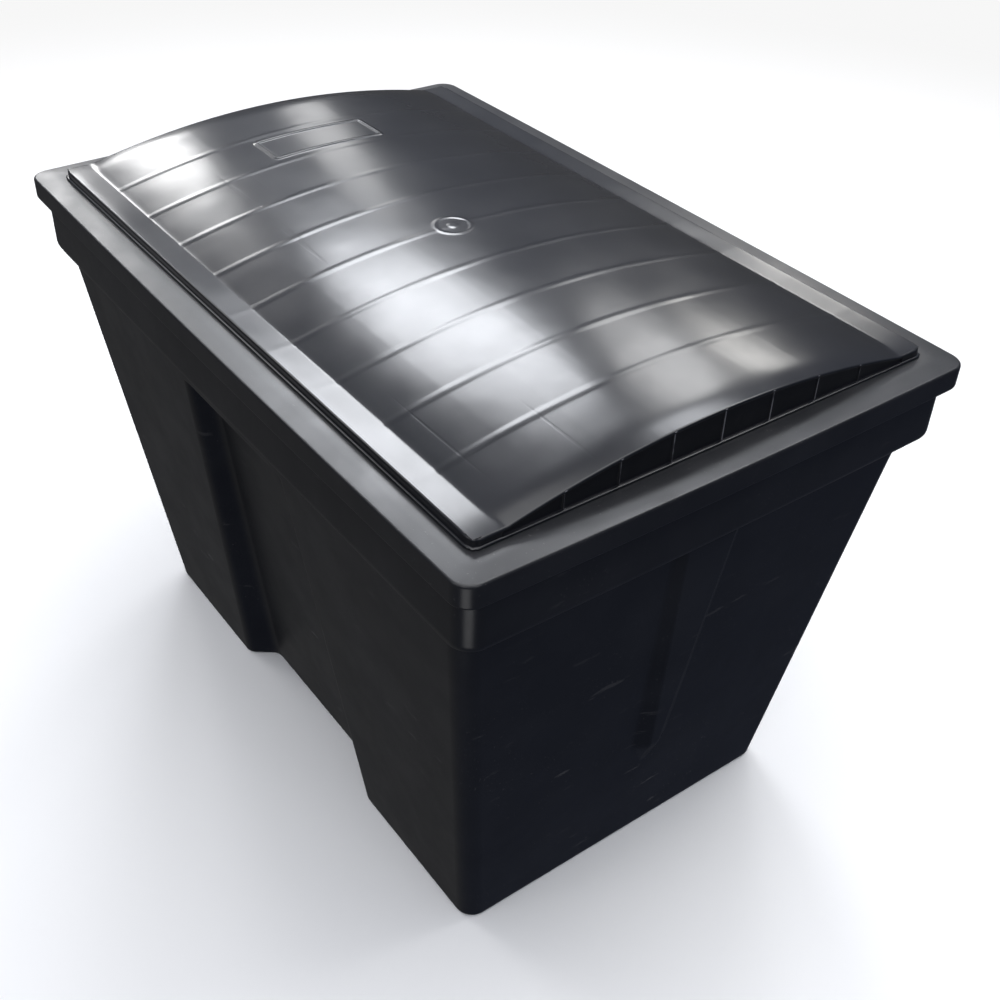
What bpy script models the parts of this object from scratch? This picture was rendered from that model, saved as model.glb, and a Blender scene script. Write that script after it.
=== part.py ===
"""Lidded storage bin: a tapered, nestable plastic tub with a lift-off arched lid.

Units are metres and +Z is up. The origin is the centre of the base on the ground, X runs
along the long side. The lid rests on the tub's flat rim and lifts straight off.
"""

import math

import bmesh
import bpy
from mathutils import Vector

BIN = "storage_bin"
MM = 0.001

# Tub, outside
RIM_LENGTH = 1200 * MM
RIM_WIDTH = 800 * MM
RIM_TOP = 786 * MM
RIM_BAND = 36 * MM
RIM_EDGE = 4 * MM
COLLAR_INSET = 13 * MM
COLLAR_FOOT = 668 * MM
SHOULDER_FOOT = 634 * MM
SHOULDER_LENGTH = 1112 * MM
SHOULDER_WIDTH = 738 * MM
BASE_LENGTH = 961 * MM
BASE_WIDTH = 589 * MM
BASE_EDGE = 5 * MM
RIM_CORNER = 25 * MM
BODY_CORNER = 28 * MM
END_BOW = 4 * MM
SIDE_BOW = 3 * MM

# Tub, inside
WALL = 6 * MM
RIM_THICKNESS = 10 * MM
MOUTH_LENGTH = 1080 * MM
MOUTH_WIDTH = 686 * MM
MOUTH_CORNER = 24 * MM

# Recess in each long side, from the shoulder down through the base
RECESS_HALF_TOP = 135 * MM
RECESS_HALF_FOOT = 198 * MM
RECESS_DEPTH_TOP = 28 * MM
RECESS_DEPTH_FOOT = 42 * MM
RECESS_TOP = 632 * MM
JAMB_SLANT = 0.7

# Tapered rib on each end
RIB_TOP = 650 * MM
RIB_TIP = 190 * MM
RIB_NOSE = 236 * MM
RIB_HALF_TOP = 44 * MM
RIB_HALF_NOSE = 9 * MM
RIB_DRAFT = 11 * MM
RIB_PROUD_TOP = 10 * MM
RIB_PROUD_NOSE = 14 * MM

# Lid
GAP = 0.3 * MM
LID_LENGTH = 1114 * MM
LID_WIDTH = 717 * MM
LID_CORNER = 14 * MM
LID_HEIGHT = 14.5 * MM
LID_LIP = 3 * MM
LID_WALL = 5 * MM
LID_BOW = 1.5 * MM
VAULT_RADIUS = 1380 * MM
VAULT_RISE = 51 * MM
VAULT_HALF_WIDTH = 316 * MM
VAULT_HALF_LENGTH = 552.5 * MM
END_WALL = 546 * MM
SPIGOT_CLEARANCE = 4 * MM
SPIGOT_WALL = 4 * MM
SPIGOT_DEPTH = 14 * MM

# Raised work on the lid
BEAD_PITCH = 108 * MM
BEAD_WIDTH = 14 * MM
BEAD_HEIGHT = 1.6 * MM
BEADS_EACH_WAY = 4
FIN_PITCH = 78 * MM
FIN_WIDTH = 4 * MM
FINS_EACH_WAY = 3
PANEL_X = -378 * MM
PANEL_LENGTH = 83 * MM
PANEL_WIDTH = 202 * MM
PANEL_BORDER = 7 * MM
PANEL_CORNER = 12 * MM
GATE_RADIUS = 29 * MM
GATE_RING = 5 * MM
GATE_BUTTON = 8 * MM

# Fineness of the curves
CORNER_STEPS = 6
SIDE_STEPS = 8
ARC_STEPS = 32
DISC_STEPS = 36

BLACK_PLASTIC = (0.012, 0.013, 0.016, 1.0)
TUB_ROUGHNESS = 0.42
LID_ROUGHNESS = 0.3


def clear_scene():
    for old in list(bpy.data.objects):
        bpy.data.objects.remove(old, do_unlink=True)


def collection(name):
    made = bpy.data.collections.new(name)
    bpy.context.scene.collection.children.link(made)
    return made


def plastic(name, roughness):
    material = bpy.data.materials.new(name)
    material.use_nodes = True
    shader = material.node_tree.nodes["Principled BSDF"]
    shader.inputs["Base Color"].default_value = BLACK_PLASTIC
    shader.inputs["Roughness"].default_value = roughness
    shader.inputs["Metallic"].default_value = 0.0
    return material


def object_from(bm, name, home):
    """Turn the faces outwards and keep the bmesh as an object in a collection."""
    bmesh.ops.recalc_face_normals(bm, faces=bm.faces)
    if bm.calc_volume(signed=True) < 0:
        bmesh.ops.reverse_faces(bm, faces=bm.faces)
    mesh = bpy.data.meshes.new(name)
    bm.to_mesh(mesh)
    bm.free()
    made = bpy.data.objects.new(name, mesh)
    home.objects.link(made)
    if home is tools:
        made.hide_render = True
        made.display_type = "WIRE"
    return made


def boolean(target, other, operation):
    """Cut, join or intersect two objects with a live modifier."""
    modifier = target.modifiers.new(f"{operation} {other.name}", "BOOLEAN")
    modifier.operation = operation
    modifier.solver = "EXACT"
    modifier.object = other


def rounded_outline(section):
    """The points of a rectangle with round corners and slightly bowed sides."""
    half_x, half_y, radius, z, bow_x, bow_y = section
    corners = ((1, 1), (-1, 1), (-1, -1), (1, -1))
    arcs = []
    for number, (sign_x, sign_y) in enumerate(corners):
        turns = [math.radians(90 * (number + step / CORNER_STEPS)) for step in range(CORNER_STEPS + 1)]
        middle = Vector((sign_x * (half_x - radius), sign_y * (half_y - radius), z))
        arcs.append([middle + radius * Vector((math.cos(t), math.sin(t), 0)) for t in turns])
    outline = []
    for arc, next_arc in zip(arcs, arcs[1:] + arcs[:1]):
        outline += arc
        outline += [arc[-1].lerp(next_arc[0], step / SIDE_STEPS) for step in range(1, SIDE_STEPS)]
    for point in outline:
        grow_x = 1 + bow_x / half_x * (1 - (point.y / half_y) ** 2)
        grow_y = 1 + bow_y / half_y * (1 - (point.x / half_x) ** 2)
        point.x *= grow_x
        point.y *= grow_y
    return outline


def loft(name, home, sections):
    """A solid skinned through a stack of rounded sections: a grid wrapped round them, then capped."""
    rings = [rounded_outline(section) for section in sections]
    around = len(rings[0])
    bm = bmesh.new()
    bmesh.ops.create_grid(bm, x_segments=around, y_segments=len(rings) - 1, size=1.0)
    for index, vertex in enumerate(bm.verts):
        row, column = divmod(index, around + 1)
        vertex.co = rings[row][column % around]
    bmesh.ops.remove_doubles(bm, verts=bm.verts, dist=MM / 1000)
    bmesh.ops.holes_fill(bm, edges=bm.edges, sides=0)
    return object_from(bm, name, home)


def hull(name, home, points):
    """The convex solid around a few corner points."""
    bm = bmesh.new()
    corners = [bm.verts.new(point) for point in points]
    bmesh.ops.convex_hull(bm, input=corners)
    return object_from(bm, name, home)


def block(name, home, low, high):
    """A rectangular solid between two corners."""
    bm = bmesh.new()
    bmesh.ops.create_cube(bm, size=1.0)
    for vertex in bm.verts:
        for axis in range(3):
            vertex.co[axis] = high[axis] if vertex.co[axis] > 0 else low[axis]
    return object_from(bm, name, home)


def disc(name, home, radius, low, high):
    """A round solid standing on the lid's centre line."""
    bm = bmesh.new()
    bmesh.ops.create_cone(
        bm, cap_ends=True, segments=DISC_STEPS, radius1=radius, radius2=radius, depth=high - low
    )
    bmesh.ops.translate(bm, verts=bm.verts, vec=(0, 0, (low + high) / 2))
    return object_from(bm, name, home)


def vault(name, home, start_x, end_x, half_y, raised, floor):
    """A barrel vault along X between two ends, raised or lowered from the lid's own arch."""
    centre = RIM_TOP + VAULT_RISE - VAULT_RADIUS
    radius = VAULT_RADIUS + raised
    sweep = math.asin(half_y / radius)
    bm = bmesh.new()
    outline = []
    for step in range(ARC_STEPS + 1):
        turn = sweep * (2 * step / ARC_STEPS - 1)
        place = (start_x, radius * math.sin(turn), centre + radius * math.cos(turn))
        outline.append(bm.verts.new(place))
    for y in (half_y, -half_y):
        outline.append(bm.verts.new((start_x, y, floor)))
    face = bm.faces.new(outline)
    raised_faces = bmesh.ops.extrude_face_region(bm, geom=[face])["geom"]
    moved = [item for item in raised_faces if isinstance(item, bmesh.types.BMVert)]
    bmesh.ops.translate(bm, verts=moved, vec=(end_x - start_x, 0, 0))
    return object_from(bm, name, home)


def wall_at(z, base, shoulder):
    """Half the body's length or width at a height, between the base and the shoulder."""
    return (base + (shoulder - base) * z / SHOULDER_FOOT) / 2


def tub_section(length, width, z, inset, corner, bowed):
    """A section of the tub moved inwards by inset, for rounded_outline."""
    bow_x, bow_y = (END_BOW, SIDE_BOW) if bowed else (0, 0)
    return (length / 2 - inset, width / 2 - inset, corner, z, bow_x, bow_y)


def tub_outside(home):
    collar_x = RIM_LENGTH - 2 * COLLAR_INSET
    collar_y = RIM_WIDTH - 2 * COLLAR_INSET
    band_foot = RIM_TOP - RIM_BAND
    return loft(
        "tub",
        home,
        [
            tub_section(BASE_LENGTH, BASE_WIDTH, 0, BASE_EDGE, BODY_CORNER - BASE_EDGE, False),
            tub_section(BASE_LENGTH, BASE_WIDTH, BASE_EDGE, 0, BODY_CORNER, False),
            tub_section(SHOULDER_LENGTH, SHOULDER_WIDTH, SHOULDER_FOOT, 0, BODY_CORNER, False),
            tub_section(collar_x, collar_y, COLLAR_FOOT, 0, BODY_CORNER, True),
            tub_section(collar_x, collar_y, band_foot, 0, BODY_CORNER, True),
            tub_section(RIM_LENGTH, RIM_WIDTH, band_foot, RIM_EDGE, RIM_CORNER, True),
            tub_section(RIM_LENGTH, RIM_WIDTH, band_foot + RIM_EDGE, 0, RIM_CORNER, True),
            tub_section(RIM_LENGTH, RIM_WIDTH, RIM_TOP - RIM_EDGE, 0, RIM_CORNER, True),
            tub_section(RIM_LENGTH, RIM_WIDTH, RIM_TOP, RIM_EDGE, RIM_CORNER, True),
        ],
    )


def tub_cavity(home):
    collar_x = RIM_LENGTH - 2 * COLLAR_INSET
    collar_y = RIM_WIDTH - 2 * COLLAR_INSET
    corner = BODY_CORNER - WALL
    ledge = RIM_TOP - RIM_THICKNESS
    return loft(
        "tub_cavity",
        home,
        [
            tub_section(BASE_LENGTH, BASE_WIDTH, WALL, WALL, corner, False),
            tub_section(SHOULDER_LENGTH, SHOULDER_WIDTH, SHOULDER_FOOT, WALL, corner, False),
            tub_section(collar_x, collar_y, COLLAR_FOOT, WALL, corner, False),
            tub_section(collar_x, collar_y, ledge, WALL, corner, False),
            tub_section(MOUTH_LENGTH, MOUTH_WIDTH, ledge, 0, MOUTH_CORNER, False),
            tub_section(MOUTH_LENGTH, MOUTH_WIDTH, RIM_TOP + RIM_BAND, 0, MOUTH_CORNER, False),
        ],
    )


def recess(name, home, side, grow):
    """The recess's space on one long side, grown by a wall when it shapes the cavity."""
    points = []
    for z in (-RIM_BAND, RECESS_TOP):
        share = z / RECESS_TOP
        half = RECESS_HALF_FOOT + (RECESS_HALF_TOP - RECESS_HALF_FOOT) * share
        depth = RECESS_DEPTH_FOOT + (RECESS_DEPTH_TOP - RECESS_DEPTH_FOOT) * share + grow
        face = wall_at(z, BASE_WIDTH, SHOULDER_WIDTH)
        height = z + grow if z > 0 else z
        for inward in (depth, -RIM_BAND):
            half_here = half - JAMB_SLANT * inward + grow * (1 + JAMB_SLANT)
            for sign in (-1, 1):
                points.append((sign * half_here, side * (face - inward), height))
    return hull(name, home, points)


def end_rib(name, home, side, shrink):
    """The tapered rib on one end, shrunk by a wall when it shapes the cavity."""
    root = WALL + RIB_PROUD_TOP
    points = []
    for z, half, proud in (
        (RIB_TOP, RIB_HALF_TOP, RIB_PROUD_TOP),
        (RIB_NOSE, RIB_HALF_NOSE, RIB_PROUD_NOSE),
    ):
        face = wall_at(z, BASE_LENGTH, SHOULDER_LENGTH)
        half_crest = half - shrink / 2
        half_root = half_crest + RIB_DRAFT * (proud + root) / proud
        for sign in (-1, 1):
            points.append((side * (face + proud - shrink), sign * half_crest, z - shrink))
            points.append((side * (face - root), sign * half_root, z - shrink))
    tip_face = wall_at(RIB_TIP, BASE_LENGTH, SHOULDER_LENGTH)
    points.append((side * (tip_face - shrink), 0, RIB_TIP + shrink))
    points.append((side * (tip_face - root), 0, RIB_TIP))
    return hull(name, home, points)


def build_tub(home):
    tub = tub_outside(home)
    cavity = tub_cavity(tools)
    for side, where in ((1, "back"), (-1, "front")):
        boolean(tub, recess(f"recess_{where}", tools, side, 0), "DIFFERENCE")
        boolean(cavity, recess(f"recess_wall_{where}", tools, side, WALL), "DIFFERENCE")
    for side, where in ((1, "right"), (-1, "left")):
        boolean(tub, end_rib(f"rib_{where}", tools, side, 0), "UNION")
        boolean(cavity, end_rib(f"rib_hollow_{where}", tools, side, WALL), "UNION")
    boolean(tub, cavity, "DIFFERENCE")
    tub.data.materials.append(plastic("tub_plastic", TUB_ROUGHNESS))
    return tub


def lid_section(z, inset, corner):
    """A section of the lid's flat plate moved inwards by inset, for rounded_outline."""
    half_x = LID_LENGTH / 2 - inset
    half_y = LID_WIDTH / 2 - inset
    return (half_x, half_y, corner, z, 0, LID_BOW)


def lid_plate(home):
    foot = RIM_TOP + GAP
    lip_top = foot + LID_LIP
    top = foot + LID_HEIGHT
    skirt = LID_LIP
    edge = LID_LIP / 2
    return loft(
        "lid",
        home,
        [
            lid_section(foot, 0, LID_CORNER),
            lid_section(lip_top, 0, LID_CORNER),
            lid_section(lip_top, skirt, LID_CORNER),
            lid_section(top - edge, skirt, LID_CORNER),
            lid_section(top, skirt + edge, LID_CORNER),
        ],
    )


def lid_hollow(home):
    """The space under the lid: below its flat plate and below its vault."""
    foot = RIM_TOP - RIM_BAND
    ceiling = RIM_TOP + GAP + LID_HEIGHT - LID_WALL
    end = END_WALL - LID_WALL
    side = LID_WIDTH / 2 - LID_LIP - LID_WALL
    corner = LID_CORNER - LID_WALL
    hollow = loft("lid_hollow", home, [(end, side, corner, z, 0, 0) for z in (foot, ceiling)])
    half_y = VAULT_HALF_WIDTH - LID_WALL
    boolean(hollow, vault("vault_hollow", home, -end, end, half_y, -LID_WALL, foot), "UNION")
    return hollow


def lid_spigot(home):
    """The downward lip that keeps the lid in the tub's mouth."""
    foot = RIM_TOP - SPIGOT_DEPTH
    head = RIM_TOP + LID_HEIGHT - LID_WALL / 2
    half_x = MOUTH_LENGTH / 2 - SPIGOT_CLEARANCE
    half_y = MOUTH_WIDTH / 2 - SPIGOT_CLEARANCE
    corner = MOUTH_CORNER - SPIGOT_CLEARANCE
    spigot = loft(
        "spigot",
        home,
        [(half_x, half_y, corner, z, 0, 0) for z in (foot, head)],
    )
    inner_x = half_x - SPIGOT_WALL
    inner_y = half_y - SPIGOT_WALL
    bore = loft(
        "spigot_bore",
        home,
        [
            (inner_x, inner_y, corner - SPIGOT_WALL, z, 0, 0)
            for z in (foot - SPIGOT_DEPTH, head + SPIGOT_DEPTH)
        ],
    )
    boolean(spigot, bore, "DIFFERENCE")
    return spigot


def end_pocket(name, home, side):
    """The shadowed bay under one end of the vault, with the upright fins left standing."""
    lip_top = RIM_TOP + GAP + LID_LIP
    half_y = VAULT_HALF_WIDTH - LID_WALL
    outside = LID_LENGTH / 2 + RIM_EDGE
    start, end = sorted((side * END_WALL, side * outside))
    pocket = vault(name, home, start, end, half_y, -LID_WALL, lip_top)
    for number in range(-FINS_EACH_WAY, FINS_EACH_WAY + 1):
        middle = number * FIN_PITCH
        start, end = sorted((side * (END_WALL - LID_WALL), side * (VAULT_HALF_LENGTH - GAP)))
        fin = block(
            f"{name}_fin_{number + FINS_EACH_WAY}",
            home,
            (start, middle - FIN_WIDTH / 2, RIM_TOP),
            (end, middle + FIN_WIDTH / 2, RIM_TOP + 2 * VAULT_RISE),
        )
        boolean(pocket, fin, "DIFFERENCE")
    return pocket


def panel_border(home):
    """The raised border of the blank name panel, following the vault."""
    foot = RIM_TOP + VAULT_RISE / 2
    head = RIM_TOP + 2 * VAULT_RISE
    border = loft(
        "panel_border",
        home,
        [(PANEL_LENGTH / 2, PANEL_WIDTH / 2, PANEL_CORNER, z, 0, 0) for z in (foot, head)],
    )
    inner_x = PANEL_LENGTH / 2 - PANEL_BORDER
    inner_y = PANEL_WIDTH / 2 - PANEL_BORDER
    inner_corner = PANEL_CORNER - PANEL_BORDER
    opening = loft(
        "panel_opening",
        home,
        [
            (inner_x, inner_y, inner_corner, z, 0, 0)
            for z in (foot - VAULT_RISE, head + VAULT_RISE)
        ],
    )
    for piece in (border, opening):
        piece.location.x = PANEL_X
    boolean(border, opening, "DIFFERENCE")
    skin = vault("panel_skin", home, -END_WALL, 0, PANEL_WIDTH, BEAD_HEIGHT, RIM_TOP)
    boolean(border, skin, "INTERSECT")
    return border


def gate_mark(home):
    """The round moulding mark in the middle of the lid: a ring and a button."""
    foot = RIM_TOP + VAULT_RISE - LID_WALL / 2
    head = RIM_TOP + VAULT_RISE + 1.5 * BEAD_HEIGHT
    ring = disc("gate_ring", home, GATE_RADIUS, foot, head)
    bore = disc("gate_bore", home, GATE_RADIUS - GATE_RING, foot - VAULT_RISE, head + VAULT_RISE)
    button = disc("gate_button", home, GATE_BUTTON, foot, head)
    boolean(ring, bore, "DIFFERENCE")
    return ring, button


def build_lid(home):
    lid = lid_plate(home)
    foot = RIM_TOP + LID_HEIGHT / 2
    length = VAULT_HALF_LENGTH
    roof = vault("vault_roof", tools, -length, length, VAULT_HALF_WIDTH, 0, foot)
    boolean(lid, roof, "UNION")
    for number in range(-BEADS_EACH_WAY, BEADS_EACH_WAY + 1):
        start = number * BEAD_PITCH - BEAD_WIDTH / 2
        end = number * BEAD_PITCH + BEAD_WIDTH / 2
        name = f"bead_{number + BEADS_EACH_WAY}"
        bead = vault(name, tools, start, end, VAULT_HALF_WIDTH + BEAD_HEIGHT, BEAD_HEIGHT, foot)
        boolean(lid, bead, "UNION")
    boolean(lid, panel_border(tools), "UNION")
    for piece in gate_mark(tools):
        boolean(lid, piece, "UNION")
    for side, where in ((1, "right"), (-1, "left")):
        boolean(lid, end_pocket(f"end_pocket_{where}", tools, side), "DIFFERENCE")
    boolean(lid, lid_hollow(tools), "DIFFERENCE")
    boolean(lid, lid_spigot(tools), "UNION")
    lid.data.materials.append(plastic("lid_plastic", LID_ROUGHNESS))
    return lid


clear_scene()
parts = collection(BIN)
tools = collection("cutters")
build_tub(parts)
build_lid(parts)
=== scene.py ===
"""A black moulded storage bin with a loose arched lid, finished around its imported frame."""

import math

import bmesh
import bpy
from mathutils import Matrix, Vector


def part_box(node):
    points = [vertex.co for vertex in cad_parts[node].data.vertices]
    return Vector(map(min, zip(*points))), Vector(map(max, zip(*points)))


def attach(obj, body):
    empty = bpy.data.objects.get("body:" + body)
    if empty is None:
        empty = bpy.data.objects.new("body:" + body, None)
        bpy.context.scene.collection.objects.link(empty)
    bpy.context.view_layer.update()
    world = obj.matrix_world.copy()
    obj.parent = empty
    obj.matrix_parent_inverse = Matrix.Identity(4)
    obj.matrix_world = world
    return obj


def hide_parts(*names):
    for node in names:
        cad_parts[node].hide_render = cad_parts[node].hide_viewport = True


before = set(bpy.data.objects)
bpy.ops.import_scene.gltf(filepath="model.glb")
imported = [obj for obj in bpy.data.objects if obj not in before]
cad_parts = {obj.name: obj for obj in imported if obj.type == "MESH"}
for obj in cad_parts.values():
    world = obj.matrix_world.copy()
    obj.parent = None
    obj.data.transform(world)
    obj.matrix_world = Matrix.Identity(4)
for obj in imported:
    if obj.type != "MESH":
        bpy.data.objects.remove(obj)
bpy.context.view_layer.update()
MM = 0.001
SAME_PLACE = 0.01 * MM


# ---------------------------------------------------------------- tub
# The tub is one black polyethylene moulding with a 6 mm wall: tapered so that bins nest, recessed in
# its long sides, ribbed on its ends, and stiffened by a shoulder, a collar and a wide flat rim.
# It is made here as one skin that runs from the base up the outside, over the rim and down the inside.

tub_low, tub_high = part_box("tub")
RIM_TOP = tub_high.z / MM
END_BOW = 4.0
SIDE_BOW = 3.0
RIM_X = tub_high.x / MM - END_BOW
RIM_Y = tub_high.y / MM - SIDE_BOW
TUB_WALL = 6.0
COLLAR_INSET = 13.0
BAND_FOOT = RIM_TOP - 36.0
COLLAR_FOOT = 674.0
SHOULDER_FOOT = 644.0
SHOULDER_X, SHOULDER_Y = 557.2, 370.2
SHOULDER_MIDDLE = (568.0, 377.0, 655.0)
BASE_X, BASE_Y = 480.5, 294.5
MOUTH_X, MOUTH_Y = 540.0, 343.0
LEDGE = 10.0
MOUTH_CORNER = 24.0
RIM_FALL = 1.6
RIM_FALL_RUN = 27.0
FOOT_RING = 8.0
FLOOR_RING = 20.0
BODY_CORNER = 28.0
RIM_CORNER = 25.0

RECESS_FOOT_HALF, RECESS_HEAD_HALF = 198.0, 135.0
RECESS_FOOT_DEPTH, RECESS_HEAD_DEPTH = 42.0, 28.0
RECESS_HEAD = 632.0
JAMB_SLANT = 0.7
RIB_TIP, RIB_NOSE, RIB_HEAD = 190.0, 236.0, 655.0
RIB_CREST_NOSE, RIB_CREST_HEAD = 8.0, 42.0
RIB_FLANK_NOSE, RIB_FLANK_HEAD = 22.0, 13.0
RIB_PROUD_NOSE, RIB_PROUD_HEAD = 14.0, 10.0


def between(low, high, share):
    return low + (high - low) * min(max(share, 0.0), 1.0)


def eased(stops):
    """Follow straight runs between stops, with each corner eased over its setback.

    A stop is (values, setback, corner steps, steps to the next stop)."""
    points = [Vector(stops[0][0])]
    for number in range(1, len(stops) - 1):
        before, here, after = (Vector(stops[number + shift][0]) for shift in (-1, 0, 1))
        setback, arc_steps = stops[number][1:3]
        start = here.lerp(before, min(0.45, setback / (here - before).length))
        end = here.lerp(after, min(0.45, setback / (here - after).length))
        run_start = points[-1]
        run_steps = stops[number - 1][3]
        points += [run_start.lerp(start, step / run_steps) for step in range(1, run_steps + 1)]
        straight = (here - start).dot(end - here) / ((here - start).length * (end - here).length)
        weight = math.sqrt((1 + min(straight, 1.0)) / 2)
        for step in range(1, arc_steps + 1):
            t = step / arc_steps
            shares = ((1 - t) ** 2, 2 * weight * t * (1 - t), t**2)
            total = sum(shares)
            points.append((shares[0] * start + shares[1] * here + shares[2] * end) / total)
    run_start = points[-1]
    run_steps = stops[-2][3]
    points += [run_start.lerp(Vector(stops[-1][0]), step / run_steps) for step in range(1, run_steps + 1)]
    return points


def moved_in(corners, distance):
    """The corners of an outline moved inwards by a distance, keeping its sides parallel."""
    normals = []
    for here, after in zip(corners, corners[1:]):
        along = (after - here).normalized()
        normals.append(Vector((-along.y, along.x)))
    moved = []
    for number, corner in enumerate(corners):
        first = normals[max(number - 1, 0)]
        second = normals[min(number, len(normals) - 1)]
        moved.append(corner - distance * (first + second) / (1 + first.dot(second)))
    return moved


def tub_row(x, y, z, corner, wall=0.0, bowed=0.0, recess=0.0, rib=0.0):
    """One level of the tub's skin. Recess and rib are the shares of their full depth at that level."""
    up = z / RECESS_HEAD
    recess_half = between(RECESS_FOOT_HALF, RECESS_HEAD_HALF, up)
    full_depth = between(RECESS_FOOT_DEPTH, RECESS_HEAD_DEPTH, up)
    along_rib = (z - RIB_NOSE) / (RIB_HEAD - RIB_NOSE)
    crest = between(RIB_CREST_NOSE, RIB_CREST_HEAD, along_rib)
    flank = between(RIB_FLANK_NOSE, RIB_FLANK_HEAD, along_rib)
    proud = between(RIB_PROUD_NOSE, RIB_PROUD_HEAD, along_rib)
    if z < RIB_NOSE:
        closing = between(0.3, 1.0, (z - RIB_TIP) / (RIB_NOSE - RIB_TIP))
        crest *= closing
        flank *= closing
    jamb = JAMB_SLANT * full_depth
    return (x, y, z, corner, wall, bowed, recess_half, jamb, full_depth * recess, crest, flank, proud * rib)


def body_row(z, wall=0.0, recess=1.0, rib=1.0):
    """A level of the tapered body, between the base and the shoulder."""
    up = z / SHOULDER_FOOT
    x = BASE_X + (SHOULDER_X - BASE_X) * up
    y = BASE_Y + (SHOULDER_Y - BASE_Y) * up
    return tub_row(x, y, z, BODY_CORNER - wall, wall, 0.0, recess, rib)


def quarter_outline(row):
    """A quarter of one level, from the middle of a long side round the corner to the middle of an end."""
    x, y, z, corner, wall, bowed, recess_half, jamb, depth, crest, flank, proud = row
    corners = [
        Vector((0, y - depth)),
        Vector((recess_half - jamb, y - depth)),
        Vector((recess_half, y)),
        Vector((x, y)),
        Vector((x, crest + flank)),
        Vector((x + proud, crest)),
        Vector((x + proud, 0)),
    ]
    # setback, corner steps and steps to the next corner, for the recess, the body's corner and the rib
    turns = ((0, 0, 5), (13, 5, 2), (12, 6, 8), (corner, 10, 6), (5, 4, 1), (3, 4, 4), (0, 0, 0))
    outline = eased([(place, *turn) for place, turn in zip(moved_in(corners, wall), turns)])
    for point in outline:
        grow_x = 1 + bowed * END_BOW / x * (1 - (point.y / y) ** 2)
        grow_y = 1 + bowed * SIDE_BOW / y * (1 - (point.x / x) ** 2)
        point.x *= grow_x
        point.y *= grow_y
    return [Vector((point.x, point.y, z)) for point in outline]


def tub_rows():
    """Every level of the skin, from the base up the outside and down the inside to the floor.

    Each is a row with its setback, its corner's steps and the steps to the next, for eased()."""
    collar_x, collar_y = RIM_X - COLLAR_INSET, RIM_Y - COLLAR_INSET
    ledge_z = RIM_TOP - LEDGE
    foot_ring = tub_row(BASE_X, BASE_Y, 0.0, BODY_CORNER - FOOT_RING, FOOT_RING, recess=1.0)
    inner_corner = BODY_CORNER - TUB_WALL
    outside = [
        (foot_ring, 0, 0, 1),
        (body_row(0.0, rib=0.0), 6, 4, 3),
        (body_row(RIB_TIP, rib=0.0), 6, 2, 2),
        (body_row(RIB_NOSE), 8, 2, 10),
        (body_row(RECESS_HEAD - 8), 3, 2, 1),
        (body_row(RECESS_HEAD - 2, recess=0.85), 3, 2, 2),
        (body_row(RECESS_HEAD, recess=0.0), 1, 1, 1),
        (body_row(SHOULDER_FOOT, recess=0.0), 2, 2, 1),
        (tub_row(*SHOULDER_MIDDLE, BODY_CORNER), 3, 2, 1),
        (tub_row(collar_x, collar_y, COLLAR_FOOT, BODY_CORNER, bowed=1.0), 7, 4, 2),
        (tub_row(collar_x, collar_y, BAND_FOOT, BODY_CORNER, bowed=1.0), 3, 3, 1),
        (tub_row(RIM_X, RIM_Y, BAND_FOOT, RIM_CORNER, bowed=1.0), 5, 4, 1),
        (tub_row(RIM_X, RIM_Y, RIM_TOP - RIM_FALL, RIM_CORNER, bowed=1.0), 4, 5, 2),
        (tub_row(RIM_X - RIM_FALL_RUN, RIM_Y - RIM_FALL_RUN, RIM_TOP, RIM_CORNER, bowed=1.0), 7, 3, 2),
    ]
    inside = [
        (tub_row(MOUTH_X, MOUTH_Y, RIM_TOP, MOUTH_CORNER), 3, 3, 1),
        (tub_row(MOUTH_X, MOUTH_Y, ledge_z, MOUTH_CORNER), 3, 3, 1),
        (tub_row(collar_x, collar_y, ledge_z, inner_corner, TUB_WALL, 1.0), 6, 4, 2),
        (tub_row(collar_x, collar_y, COLLAR_FOOT, inner_corner, TUB_WALL, 1.0), 7, 3, 1),
        (body_row(SHOULDER_FOOT, TUB_WALL, 0.0, 0.4), 2, 2, 1),
        (body_row(RECESS_HEAD - 6, TUB_WALL, 1.0), 4, 2, 10),
        (body_row(RIB_NOSE, TUB_WALL), 8, 2, 2),
        (body_row(RIB_TIP, TUB_WALL, rib=0.0), 6, 2, 3),
        (body_row(TUB_WALL, TUB_WALL, rib=0.0), 12, 5, 1),
        (tub_row(BASE_X, BASE_Y, TUB_WALL, inner_corner, TUB_WALL + FLOOR_RING, recess=1.0), 0, 0, 0),
    ]
    return eased(outside + inside)


def skin(rings):
    """A bmesh grid laid over rings that all have the same number of points."""
    bm = bmesh.new()
    columns = len(rings[0])
    bmesh.ops.create_grid(bm, x_segments=columns - 1, y_segments=len(rings) - 1, size=1.0)
    bm.verts.ensure_lookup_table()
    for number, vertex in enumerate(bm.verts):
        row, column = divmod(number, columns)
        vertex.co = rings[row][column] * MM
    return bm


def finished(bm, name, body, node_name, material, sharp):
    """Turn the faces outwards, smooth them and hang the piece on its body in place of its CAD node."""
    bmesh.ops.recalc_face_normals(bm, faces=bm.faces)
    if bm.calc_volume(signed=True) < 0:
        bmesh.ops.reverse_faces(bm, faces=bm.faces)
    mesh = bpy.data.meshes.new(name)
    bm.to_mesh(mesh)
    bm.free()
    mesh.shade_smooth()
    mesh.set_sharp_from_angle(angle=math.radians(sharp))
    piece = bpy.data.objects.new(name, mesh)
    bpy.context.scene.collection.objects.link(piece)
    normals = piece.modifiers.new("even shading", "WEIGHTED_NORMAL")
    normals.keep_sharp = True
    piece.data.materials.append(material)
    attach(piece, body)
    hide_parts(node_name)
    return piece


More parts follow.
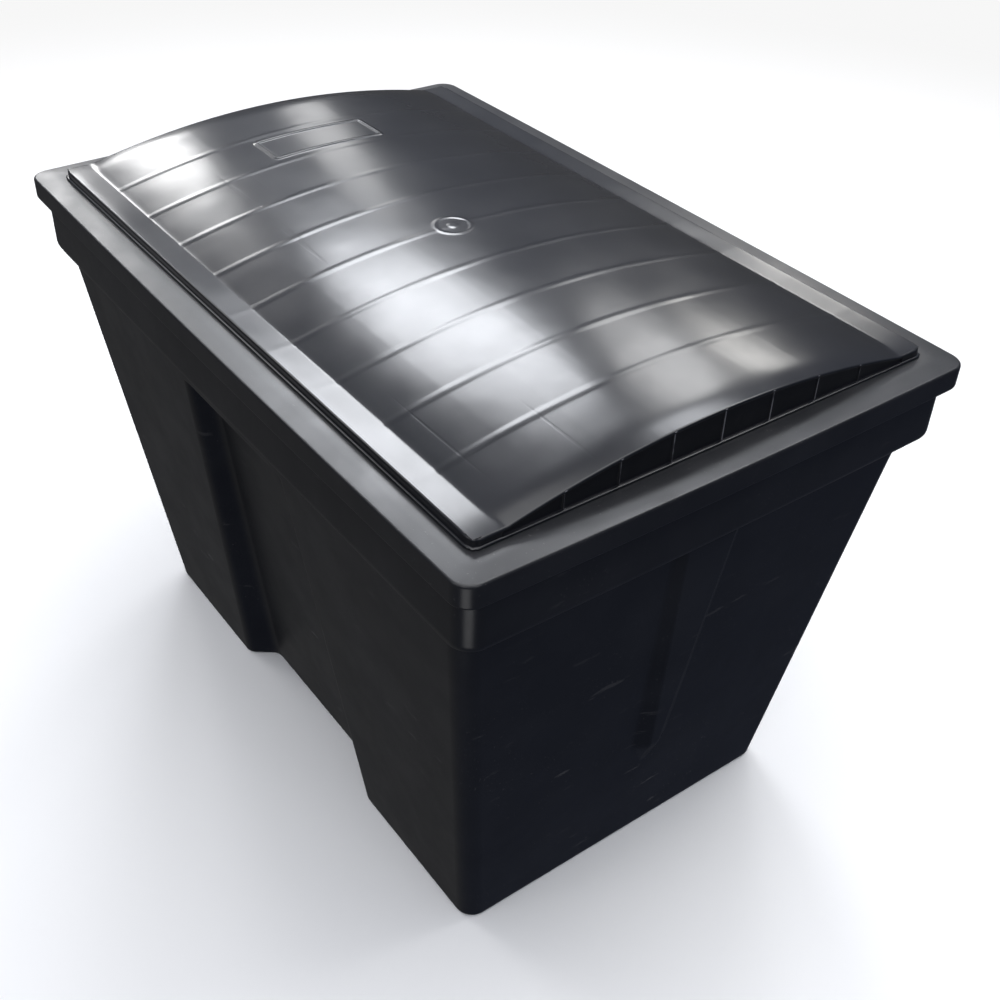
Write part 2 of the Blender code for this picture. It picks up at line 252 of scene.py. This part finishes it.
def tub_mesh():
    """A quarter of the skin mirrored both ways, with its base and its floor filled in."""
    rows = [quarter_outline(row) for row in tub_rows()]
    bm = skin(rows)
    for axis in ("X", "Y"):
        whole = bm.verts[:] + bm.edges[:] + bm.faces[:]
        bmesh.ops.mirror(bm, geom=whole, axis=axis, merge_dist=SAME_PLACE)
    bmesh.ops.remove_doubles(bm, verts=bm.verts, dist=SAME_PLACE)
    bmesh.ops.holes_fill(bm, edges=bm.edges, sides=0)
    return bm


def add_node(tree, kind, inputs=(), **settings):
    """A shader node with its settings; an input is a value, or a socket to link from."""
    made = tree.nodes.new(kind)
    for name, value in settings.items():
        setattr(made, name, value)
    for name, value in dict(inputs).items():
        if isinstance(value, bpy.types.NodeSocket):
            tree.links.new(value, made.inputs[name])
        else:
            made.inputs[name].default_value = value
    return made


def noise(tree, place, scale, detail=3.0, roughness=0.5, stretch=None, turn=(0, 0, 0)):
    """Noise on object coordinates, in features per metre, stretched along a turned direction."""
    if stretch:
        turned = add_node(tree, "ShaderNodeMapping", {0: place, "Rotation": turn, "Scale": stretch})
        place = turned.outputs[0]
    inputs = {"Vector": place, "Scale": scale, "Detail": detail, "Roughness": roughness}
    return add_node(tree, "ShaderNodeTexNoise", inputs).outputs["Fac"]


def graded(tree, value, low, high, to_low=0.0, to_high=1.0):
    """A value taken from one range to another, smoothly and without running over."""
    inputs = {"Value": value, 1: low, 2: high, 3: to_low, 4: to_high}
    made = add_node(tree, "ShaderNodeMapRange", inputs, interpolation_type="SMOOTHSTEP")
    return made.outputs[0]


def calculated(tree, operation, first, second=0.0):
    return add_node(tree, "ShaderNodeMath", {0: first, 1: second}, operation=operation).outputs[0]


def blended(tree, share, first, second):
    made = add_node(tree, "ShaderNodeMix", {0: share, 6: first, 7: second}, data_type="RGBA")
    return made.outputs[2]


def raised(tree, height, distance, strength, under=None):
    inputs = {"Height": height, "Distance": distance, "Strength": strength}
    if under:
        inputs["Normal"] = under
    return add_node(tree, "ShaderNodeBump", inputs).outputs[0]


def new_plastic(name):
    """A material with a Principled shader, its node tree and its object coordinates."""
    material = bpy.data.materials.new(name)
    material.use_nodes = True
    tree = material.node_tree
    shader = tree.nodes["Principled BSDF"]
    place = tree.nodes.new("ShaderNodeTexCoord").outputs["Object"]
    return material, tree, shader, place


TUB_BLACK = (0.0125, 0.0130, 0.0150, 1.0)
TUB_BLOOM = (0.0200, 0.0205, 0.0230, 1.0)
TUB_SCUFF = (0.11, 0.107, 0.105, 1.0)


def tub_plastic():
    """Satin black polyethylene: faint bloom, fine moulded grain, and grey scuffs low on the walls."""
    material, tree, shader, place = new_plastic("tub_black_polyethylene")
    height = add_node(tree, "ShaderNodeSeparateXYZ", {0: place}).outputs["Z"]
    bloom = graded(tree, noise(tree, place, 5.0, 4.0, 0.6), 0.35, 0.7)
    base = blended(tree, bloom, TUB_BLACK, TUB_BLOOM)

    low_down = graded(tree, height, 0.05, 0.6, 1.0, 0.3)
    patches = graded(tree, noise(tree, place, 7.0, 2.0), 0.46, 0.62)
    strokes = noise(tree, place, 40.0, 3.0, 0.6, (0.3, 0.3, 1.6), (0.6, 0.8, 0.0))
    chips = graded(tree, strokes, 0.64, 0.70)
    specks = graded(tree, noise(tree, place, 260.0, 1.0), 0.70, 0.76)
    chips = calculated(tree, "MULTIPLY", chips, graded(tree, height, 0.72, 0.75, 1.0, 0.0))
    marks_made = calculated(tree, "MAXIMUM", chips, specks)
    scuffs = calculated(tree, "MULTIPLY", calculated(tree, "MULTIPLY", marks_made, patches), low_down)
    tree.links.new(blended(tree, scuffs, base, TUB_SCUFF), shader.inputs["Base Color"])

    haze = noise(tree, place, 14.0, 4.0, 0.6)
    rough = graded(tree, haze, 0.3, 0.7, 0.28, 0.35)
    tree.links.new(calculated(tree, "ADD", rough, calculated(tree, "MULTIPLY", scuffs, 0.2)),
                   shader.inputs["Roughness"])

    waves = raised(tree, noise(tree, place, 5.0, 1.0), 5 * MM, 0.3)
    grain = raised(tree, noise(tree, place, 900.0, 2.0), 0.2 * MM, 0.10, waves)
    worn = raised(tree, scuffs, 0.3 * MM, 0.4, grain)
    tree.links.new(worn, shader.inputs["Normal"])
    shader.inputs["IOR"].default_value = 1.5
    return material


tub = finished(tub_mesh(), "tub_moulding", "tub", "tub", tub_plastic(), 40.0)


# ---------------------------------------------------------------- lid
# The lid is one glossier black moulding that lies loose on the rim: an arched roof crossed by low
# beads, flat margins, a short skirt with a thin lip, and finned walls set back under the roof's ends.
# The roof is a fine grid raised by its beads, panel border and gate mark; the skirt hangs from its edge.

lid_low, lid_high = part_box("lid")
LID_FOOT = RIM_TOP + 0.3
LID_X = lid_high.x / MM
LID_Y = lid_high.y / MM
LIP = 3.0
LIP_OUT = 3.0
END_LIP_OUT = 2.5
EDGE_ROUND = 3.0
ROOF_X = LID_X - END_LIP_OUT - EDGE_ROUND
MARGIN_Y = LID_Y - LIP_OUT - EDGE_ROUND
LID_CORNER = 12.0
INNER_CORNER = 8.0
MARGIN_TOP = LID_FOOT + 13.4
BAY_WALL = LID_X - 5.0
FIN_FACE = LID_X - 3.0
INNER_END = 541.0
LID_WALL = 5.0
ARCH_RADIUS = 1380.0
ARCH_CROWN = RIM_TOP + 51.0
ARCH_HALF = 316.0
CREASE_EASE = 0.5
ROLL_START = 514.0
ROLL_DROP = 2.6
SPIGOT_X, SPIGOT_Y = 536.0, 339.0
SPIGOT_WALL = 4.0
SPIGOT_FOOT = RIM_TOP - 14.0
EDGE_TURNS = (20, 40, 65, 90)
SKIRT_SHARES = (0.6, 0.45, 0.3, 0.12)

BEAD_PITCH = 108.0
BEAD_HALF = 13.0
BEAD_HEIGHT = 0.25
BEAD_COUNT_EACH_WAY = 4
BAND_SAG = 0.34
FIN_PITCH = 78.0
FIN_HALF = 2.2
FIN_FLAT = 0.7
FINS_EACH_WAY = 3
FIN_STEP = 1.5
PANEL = (-378.0, 0.0)
PANEL_HALF = (41.5, 101.0)
PANEL_CORNER = 12.0
PANEL_BORDER = 12.0
PANEL_RAISED = 1.5
GATE_RING = 26.0
GATE_RING_HALF = 5.5
GATE_BUTTON = 11.0
GATE_RAISED = 0.55

COARSE_STEP = 14.0
GATE_STEP = 1.8
BEAD_STEP = 1.75
PANEL_STEP = 1.5
CREASE_STEP = 1.0


def smooth(low, high, value):
    share = between(0.0, 1.0, (value - low) / (high - low))
    return share * share * (3 - 2 * share)


def arch(y):
    """The height of the plain arch, without beads."""
    return ARCH_CROWN - ARCH_RADIUS + math.sqrt(ARCH_RADIUS**2 - y * y)


def bead(x):
    """The height of the nearest cross bead and of the slightly sunken band beside it."""
    number = min(max(round(x / BEAD_PITCH), -BEAD_COUNT_EACH_WAY), BEAD_COUNT_EACH_WAY)
    away = abs(x - number * BEAD_PITCH)
    ridge = BEAD_HEIGHT * (1 - smooth(0.0, BEAD_HALF, away))
    across = 1 - min(away / (BEAD_PITCH / 2), 1.0)
    return ridge - BAND_SAG * (1 - across * across)


def panel_border(x, y):
    """The raised border of the blank name panel."""
    past_x = abs(x - PANEL[0]) - PANEL_HALF[0] + PANEL_CORNER
    past_y = abs(y - PANEL[1]) - PANEL_HALF[1] + PANEL_CORNER
    corner = math.hypot(max(past_x, 0.0), max(past_y, 0.0))
    from_edge = corner + min(max(past_x, past_y), 0.0) - PANEL_CORNER
    from_middle = abs(from_edge + PANEL_BORDER / 2)
    return PANEL_RAISED * (1 - smooth(0.0, PANEL_BORDER / 2, from_middle))


def gate_mark(x, y):
    """The round moulding mark at the crown: a ring round a button."""
    radius = math.hypot(x, y)
    ring = 1 - smooth(0.0, GATE_RING_HALF, abs(radius - GATE_RING))
    button = 1 - smooth(GATE_BUTTON - 6, GATE_BUTTON, radius)
    return GATE_RAISED * max(ring, button)


def roof_height(x, y):
    """The roof's height, with its ends rolled down and its meeting with the margins eased."""
    roll = ROLL_DROP * (max(abs(x) - ROLL_START, 0.0) / (ROOF_X - ROLL_START)) ** 2
    vaulted = arch(y) + max(bead(x) + panel_border(x, y), gate_mark(x, y)) - roll
    margin = MARGIN_TOP + 0.15 * bead(x) - 0.3 * roll
    apart = vaulted - margin
    return (vaulted + margin + math.sqrt(apart * apart + CREASE_EASE**2)) / 2


def marks(half, coarse, fine_runs):
    """Grid lines from -half to half: fine ones in the given runs, and coarse ones in between."""
    lines = {-half, half}
    for low, high, step in fine_runs:
        count = max(round((high - low) / step), 1)
        lines |= {low + (high - low) * number / count for number in range(count + 1)}
    lines = sorted(line for line in lines if abs(line) <= half)
    filled = []
    for line, following in zip(lines, lines[1:]):
        count = max(math.ceil((following - line) / coarse - 0.01), 1)
        filled += [line + (following - line) * number / count for number in range(count)]
    filled.append(half)
    return [line for line, before in zip(filled, [-1e9] + filled) if line - before > 0.2]


def lid_marks():
    """The roof's grid lines along X and along Y."""
    gate = GATE_RING + GATE_RING_HALF + 1
    along_x = [(-gate, gate, GATE_STEP)]
    for number in range(-BEAD_COUNT_EACH_WAY, BEAD_COUNT_EACH_WAY + 1):
        if number:
            middle = number * BEAD_PITCH
            along_x.append((middle - BEAD_HALF - 1, middle + BEAD_HALF + 1, BEAD_STEP))
    for side in (-1, 1):
        edge = PANEL[0] + side * (PANEL_HALF[0] - PANEL_BORDER / 2)
        along_x.append((edge - PANEL_CORNER / 2, edge + PANEL_CORNER / 2, PANEL_STEP))
    along_y = [(-gate, gate, GATE_STEP)]
    for side in (-1, 1):
        edge = side * (PANEL_HALF[1] - PANEL_BORDER / 2)
        along_y.append((edge - PANEL_CORNER / 2, edge + PANEL_CORNER / 2, PANEL_STEP))
        crease = side * ARCH_HALF
        along_y.append((crease - 5, crease + 9, CREASE_STEP))
        for number in range(-FINS_EACH_WAY, FINS_EACH_WAY + 1):
            edge = number * FIN_PITCH + side * (FIN_HALF + FIN_FLAT) / 2
            along_y.append((edge - FIN_STEP / 2, edge + FIN_STEP / 2, FIN_STEP / 2))
    return marks(ROOF_X, COARSE_STEP, along_x), marks(MARGIN_Y, COARSE_STEP, along_y)


def on_outline(x, y, half_x, half_y, corner):
    """The point of a round-cornered rectangle that belongs to an edge point of the roof."""
    x *= half_x / ROOF_X
    y *= half_y / MARGIN_Y
    inner_x = min(max(x, corner - half_x), half_x - corner)
    inner_y = min(max(y, corner - half_y), half_y - corner)
    away = Vector((x - inner_x, y - inner_y))
    if abs(inner_x) < half_x - corner - 1e-6 or abs(inner_y) < half_y - corner - 1e-6 or away.length < 1e-6:
        return x, y
    away = away.normalized() * corner
    return inner_x + away.x, inner_y + away.y


def fin(y):
    """How far the end wall stands out at y, from 0 between the fins to 1 on a fin's face."""
    middle = round(y / FIN_PITCH)
    if abs(middle) > FINS_EACH_WAY:
        return 0.0
    return 1 - between(0.0, 1.0, (abs(y - middle * FIN_PITCH) - FIN_FLAT) / (FIN_HALF - FIN_FLAT))


def edge_profile(x, y):
    """Where the lid's skin goes from one point of the roof's edge: over, down the skirt and back under."""
    top = roof_height(x, y)
    bayed = abs(x) > ROOF_X - 0.1 and abs(y) < ARCH_HALF
    steps = []
    for turn in EDGE_TURNS:
        out = EDGE_ROUND * math.sin(math.radians(turn))
        down = EDGE_ROUND * (1 - math.cos(math.radians(turn)))
        steps.append((ROOF_X + out, MARGIN_Y + out, top - down))
    wall_x = between(BAY_WALL, FIN_FACE, fin(y))
    foot = LID_FOOT + LIP
    skirt = (ROOF_X + EDGE_ROUND, MARGIN_Y + EDGE_ROUND)
    if bayed:
        eave = top - EDGE_ROUND - 0.8
        steps.append((skirt[0] - 0.2, skirt[1], eave))
        steps.append((skirt[0] - 0.8, skirt[1], eave - 0.5))
        steps.append((wall_x, skirt[1], eave - 0.7))
        steps.append((wall_x, skirt[1], foot + 0.8))
        steps.append((wall_x + 0.5, skirt[1], foot))
    else:
        for share in SKIRT_SHARES:
            steps.append((*skirt, foot + (top - foot) * share))
        steps.append((skirt[0] + 0.4, skirt[1] + 0.4, foot))
    steps.append((LID_X - 1.1, LID_Y - 1.1, foot))
    steps.append((LID_X, LID_Y, foot - 1.1))
    steps.append((LID_X, LID_Y, LID_FOOT + 0.5))
    steps.append((LID_X - 0.5, LID_Y - 0.5, LID_FOOT))
    inner = (INNER_END, LID_Y - LIP_OUT - LID_WALL)
    ceiling = MARGIN_TOP - LID_WALL
    steps.append((*inner, LID_FOOT))
    steps.append((*inner, ceiling))
    steps.append((SPIGOT_X, SPIGOT_Y, ceiling))
    steps.append((SPIGOT_X, SPIGOT_Y, SPIGOT_FOOT + 1))
    steps.append((SPIGOT_X - 1, SPIGOT_Y - 1, SPIGOT_FOOT))
    steps.append((SPIGOT_X - SPIGOT_WALL + 1, SPIGOT_Y - SPIGOT_WALL + 1, SPIGOT_FOOT))
    steps.append((SPIGOT_X - SPIGOT_WALL, SPIGOT_Y - SPIGOT_WALL, SPIGOT_FOOT + 1))
    steps.append((SPIGOT_X - SPIGOT_WALL, SPIGOT_Y - SPIGOT_WALL, ceiling - 1))
    return steps


def underside_point(x, y):
    """The point of the lid's underside below a point of its roof."""
    half_x, half_y = SPIGOT_X - SPIGOT_WALL, SPIGOT_Y - SPIGOT_WALL
    x, y = on_outline(x, y, half_x, half_y, INNER_CORNER)
    ceiling = MARGIN_TOP - LID_WALL - 1
    vaulted = arch(y) - LID_WALL if abs(y) < ARCH_HALF - LID_WALL else ceiling
    return Vector((x, y, max(vaulted, ceiling)))


def in_steady_order(bm):
    """Put the edges and faces in the order of their corners, so the mesh is laid out alike every time."""
    bm.verts.index_update()
    for elements in (bm.edges, bm.faces):
        ordered = sorted(elements, key=lambda element: sorted(corner.index for corner in element.verts))
        for number, element in enumerate(ordered):
            element.index = number
        elements.sort()


def lid_mesh():
    """The roof, a copy of it for the underside, and the skin drawn round from one edge to the other."""
    x_lines, y_lines = lid_marks()
    roof = [[Vector((x, y, roof_height(x, y))) for x in x_lines] for y in y_lines]
    bm = skin(roof)
    flat = {}
    for number, vertex in enumerate(bm.verts):
        row, column = divmod(number, len(x_lines))
        flat[vertex] = (x_lines[column], y_lines[row])
    under = bmesh.ops.duplicate(bm, geom=bm.faces[:])
    under_edges = {item for item in under["geom"] if isinstance(item, bmesh.types.BMEdge)}
    for old, new in under["vert_map"].items():
        if old in flat:
            new.co = underside_point(*flat[old]) * MM
    rim = [edge for edge in bm.edges if edge.is_boundary and edge not in under_edges]
    count = len(edge_profile(0, MARGIN_Y))
    for step in range(count + 1):
        made = bmesh.ops.extrude_edge_only(bm, edges=rim)["geom"]
        new_verts = [item for item in made if isinstance(item, bmesh.types.BMVert)]
        above = {}
        for vertex in new_verts:
            neighbours = [edge.other_vert(vertex) for edge in vertex.link_edges]
            above[vertex] = next(flat[neighbour] for neighbour in neighbours if neighbour in flat)
        for vertex, (x, y) in above.items():
            flat[vertex] = (x, y)
            if step == count:
                vertex.co = underside_point(x, y) * MM
                continue
            half_x, half_y, z = edge_profile(x, y)[step]
            corner = LID_CORNER if half_x > SPIGOT_X + 1 else INNER_CORNER
            place = on_outline(x, y, half_x, half_y, corner)
            vertex.co = Vector((*place, z)) * MM
        rim = [item for item in made if isinstance(item, bmesh.types.BMEdge) and item.is_boundary]
    bmesh.ops.remove_doubles(bm, verts=bm.verts, dist=SAME_PLACE)
    in_steady_order(bm)
    return bm


LID_BLACK = (0.0060, 0.0065, 0.0085, 1.0)
LID_BLOOM = (0.0100, 0.0105, 0.0130, 1.0)
FIN_HIGHLIGHT_PAINT = (0.19, 0.19, 0.205, 1.0)


def lid_plastic():
    """Glossier black polyethylene with a hazy skin: fine crossed scuffing, scratches, and a painted
    highlight on the fin faces.
    """
    material, tree, shader, place = new_plastic("lid_black_polyethylene")
    bloom = graded(tree, noise(tree, place, 7.0, 4.0, 0.6), 0.35, 0.7)
    black = blended(tree, bloom, LID_BLACK, LID_BLOOM)

    # Painted highlight: each fin face in the end bays is coloured pale grey, broken up by noise, so that
    # the fins show as thin bright lines.
    parts = add_node(tree, "ShaderNodeSeparateXYZ", {0: place}).outputs
    outward = calculated(tree, "ABSOLUTE", parts["X"])
    near = {0: outward, 1: FIN_FACE * MM, 2: 0.3 * MM}
    face = add_node(tree, "ShaderNodeMath", near, operation="COMPARE").outputs[0]
    beside = calculated(tree, "PINGPONG", parts["Y"], FIN_PITCH / 2 * MM)
    fin_line = graded(tree, beside, FIN_FLAT * MM, FIN_HALF * MM, 1.0, 0.0)
    sideways = calculated(tree, "ABSOLUTE", parts["Y"])
    last_fin = (FINS_EACH_WAY + 0.5) * FIN_PITCH * MM
    in_bay = calculated(tree, "LESS_THAN", sideways, last_fin)
    broken = graded(tree, noise(tree, place, 60.0, 2.0), 0.35, 0.6, 0.2, 1.0)
    on_fin = calculated(tree, "MULTIPLY", calculated(tree, "MULTIPLY", face, fin_line), in_bay)
    painted_fin_highlight = calculated(tree, "MULTIPLY", on_fin, broken)
    tree.links.new(blended(tree, painted_fin_highlight, black, FIN_HIGHLIGHT_PAINT), shader.inputs["Base Color"])

    haze = graded(tree, noise(tree, place, 11.0, 4.0, 0.62), 0.32, 0.68, 0.145, 0.19)
    patches = graded(tree, noise(tree, place, 6.0, 2.0), 0.48, 0.66)
    across = noise(tree, place, 420.0, 2.0, 0.6, (0.03, 1.0, 1.0), (0, 0, 0.12))
    along = noise(tree, place, 420.0, 2.0, 0.6, (1.0, 0.03, 1.0), (0, 0, -0.2))
    handled = graded(tree, parts["X"], -0.25, 0.15)
    rubbing = calculated(tree, "MULTIPLY", patches, handled)
    scuffing = calculated(tree, "MULTIPLY", calculated(tree, "ADD", across, along), rubbing)
    rough = calculated(tree, "ADD", haze, calculated(tree, "MULTIPLY", rubbing, 0.015))
    tree.links.new(rough, shader.inputs["Roughness"])

    waves = raised(tree, noise(tree, place, 8.0, 1.5), 6 * MM, 0.12)
    rubbed = raised(tree, scuffing, 0.1 * MM, 0.05, waves)
    scratch = noise(tree, place, 55.0, 1.0, 0.4, (0.02, 1.0, 1.0), (0, 0, 0.55))
    lines = graded(tree, scratch, 0.73, 0.76)
    scratched = raised(tree, lines, -0.1 * MM, 0.5, rubbed)
    tree.links.new(scratched, shader.inputs["Normal"])
    tree.links.new(scratched, shader.inputs["Coat Normal"])
    shader.inputs["IOR"].default_value = 1.4
    shader.inputs["Coat Weight"].default_value = 0.3
    shader.inputs["Coat Roughness"].default_value = 0.28
    shader.inputs["Coat IOR"].default_value = 1.5
    return material


lid = finished(lid_mesh(), "lid_moulding", "lid", "lid", lid_plastic(), 50.0)


# ---------------------------------------------------------------- studio
# A plain pale floor that runs into an evenly pale backdrop, under soft panels. The panels stand far
# off, so that their soft reflections lie on the arched roof as broad pale patches.

FLOOR_SIZE = 60.0
PANEL_DISTANCE = 14.0
CARD_SIZE = 0.7
CARD_PLACE = (1.22, -1.08, 0.03)
CARD_BRIGHTNESS = 1.5


def studio_floor():
    bm = bmesh.new()
    just_under = Matrix.Translation((0, 0, -0.5 * MM))
    bmesh.ops.create_grid(bm, x_segments=1, y_segments=1, size=FLOOR_SIZE / 2, matrix=just_under)
    mesh = bpy.data.meshes.new("studio_floor")
    bm.to_mesh(mesh)
    bm.free()
    floor = bpy.data.objects.new("studio_floor", mesh)
    bpy.context.scene.collection.objects.link(floor)
    material, tree, shader, place = new_plastic("pale_paper")
    away = add_node(tree, "ShaderNodeVectorMath", {0: place}, operation="LENGTH").outputs["Value"]
    beyond = graded(tree, away, 1.3, 4.0)
    tone = graded(tree, noise(tree, place, 0.8, 2.0), 0.3, 0.7)
    paper = blended(tree, tone, (0.86, 0.86, 0.86, 1), (0.88, 0.88, 0.88, 1))
    tree.links.new(blended(tree, beyond, paper, (0.0, 0.0, 0.0, 1)), shader.inputs["Base Color"])
    glow = blended(tree, beyond, (0.0, 0.0, 0.0, 1), (0.93, 0.93, 0.93, 1))
    tree.links.new(glow, shader.inputs["Emission Color"])
    shader.inputs["Emission Strength"].default_value = 1.0
    shader.inputs["Roughness"].default_value = 0.9
    shader.inputs["Specular IOR Level"].default_value = 0.0
    mesh.materials.append(material)
    floor.visible_glossy = False
    floor.visible_diffuse = False
    floor.visible_shadow = False


def soft_panel(name, turn, rise, width, height, brightness, tint):
    """A soft panel seen from the bin at a turn from -X towards +Y and a rise, all in degrees."""
    turn, rise = math.radians(turn), math.radians(rise)
    towards = Vector((-math.cos(turn) * math.cos(rise), math.sin(turn) * math.cos(rise), math.sin(rise)))
    light = bpy.data.lights.new(name, "AREA")
    light.shape = "ELLIPSE"
    light.size = 2 * PANEL_DISTANCE * math.tan(math.radians(width / 2))
    light.size_y = 2 * PANEL_DISTANCE * math.tan(math.radians(height / 2))
    light.color = tint
    light.energy = brightness * math.pi * light.size * light.size_y * math.pi / 4
    panel = bpy.data.objects.new(name, light)
    bpy.context.scene.collection.objects.link(panel)
    panel.location = towards * PANEL_DISTANCE + Vector((0, 0, RIM_TOP * MM))
    panel.rotation_euler = towards.to_track_quat("Z", "Y").to_euler()
    panel.visible_camera = False


CREAM = (1.0, 0.985, 0.95)
NEUTRAL = (1.0, 1.0, 1.0)
COOL = (0.93, 0.955, 1.0)

studio_floor()
soft_panel("main_panel", 27.5, 37.8, 17, 11.2, 15.5, COOL)
soft_panel("main_panel_tail", 28.5, 21.5, 4.5, 13, 3.4, NEUTRAL)
soft_panel("left_panel", 11, 24, 8.5, 12.5, 13.5, NEUTRAL)
soft_panel("right_panel", 48, 33, 9, 12, 7.0, NEUTRAL)
soft_panel("right_panel_foot", 55, 24, 8, 6, 8.0, CREAM)
soft_panel("high_panel", 57, 46, 13, 10, 9.0, COOL)
soft_panel("roof_edge_panel", 85, 50, 20, 14, 6.0, NEUTRAL)
soft_panel("far_panel", 108, 50, 24, 14, 6.0, NEUTRAL)
soft_panel("edge_panel", -22, 35, 20, 20, 5.0, NEUTRAL)
soft_panel("near_end_panel", 180, 33, 22, 14, 4.0, COOL)
soft_panel("front_panel", -125, 36, 24, 14, 4.0, NEUTRAL)
soft_panel("near_side_panel", -85, 33, 22, 14, 4.0, NEUTRAL)
soft_panel("overhead_panel", 90, 88, 60, 60, 2.4, NEUTRAL)


def bounce_card():
    """A card lying on the floor off the near corner, seen only as the sheen on the upright corners."""
    light = bpy.data.lights.new("bounce_card", "AREA")
    light.shape = "DISK"
    light.size = CARD_SIZE
    light.energy = CARD_BRIGHTNESS * math.pi * math.pi / 4 * CARD_SIZE**2
    card = bpy.data.objects.new("bounce_card", light)
    bpy.context.scene.collection.objects.link(card)
    card.location = CARD_PLACE
    card.rotation_euler = (math.pi, 0, 0)
    card.visible_camera = False


bounce_card()


def studio_world():
    """Dim surroundings that grow lighter upwards, behind a pale backdrop."""
    world = bpy.data.worlds.new("studio")
    bpy.context.scene.world = world
    world.use_nodes = True
    tree = world.node_tree
    background = tree.nodes["Background"]
    way = tree.nodes.new("ShaderNodeTexCoord").outputs["Generated"]
    parts = add_node(tree, "ShaderNodeSeparateXYZ", {0: way}).outputs
    sideways = graded(tree, parts["X"], -0.5, 0.3)
    ground = blended(tree, sideways, (0.088, 0.088, 0.090, 1), (0.045, 0.053, 0.080, 1))
    lifted = graded(tree, parts["Z"], 0.0, 0.55)
    air = blended(tree, lifted, ground, (0.19, 0.21, 0.27, 1))
    seen = tree.nodes.new("ShaderNodeLightPath").outputs["Is Camera Ray"]
    shown = blended(tree, seen, air, (0.93, 0.93, 0.93, 1))
    tree.links.new(shown, background.inputs["Color"])


studio_world()
bpy.context.scene.view_settings.view_transform = "Standard"


# ---------------------------------------------------------------- camera
# The camera stands off the near corner and looks down on the lid.

CAMERA_PLACE = Vector((1.3865, -0.9631, 1.6459))
CAMERA_YAW = math.radians(52.427)
CAMERA_PITCH = math.radians(37.52)
CAMERA_ROLL = math.radians(2.359)
CAMERA_LENS = 46.616

back = Vector((
    math.sin(CAMERA_YAW) * math.cos(CAMERA_PITCH),
    -math.cos(CAMERA_YAW) * math.cos(CAMERA_PITCH),
    math.sin(CAMERA_PITCH),
))
right = Vector((math.cos(CAMERA_YAW), math.sin(CAMERA_YAW), 0))
turned = Matrix((right, back.cross(right), back)).transposed()
lens = bpy.data.cameras.new("camera")
lens.lens = CAMERA_LENS
lens.sensor_width = 36.0
camera = bpy.data.objects.new("camera", lens)
turned = turned @ Matrix.Rotation(CAMERA_ROLL, 3, "Z")
camera.matrix_world = Matrix.Translation(CAMERA_PLACE) @ turned.to_4x4()
bpy.context.scene.collection.objects.link(camera)
bpy.context.scene.camera = camera
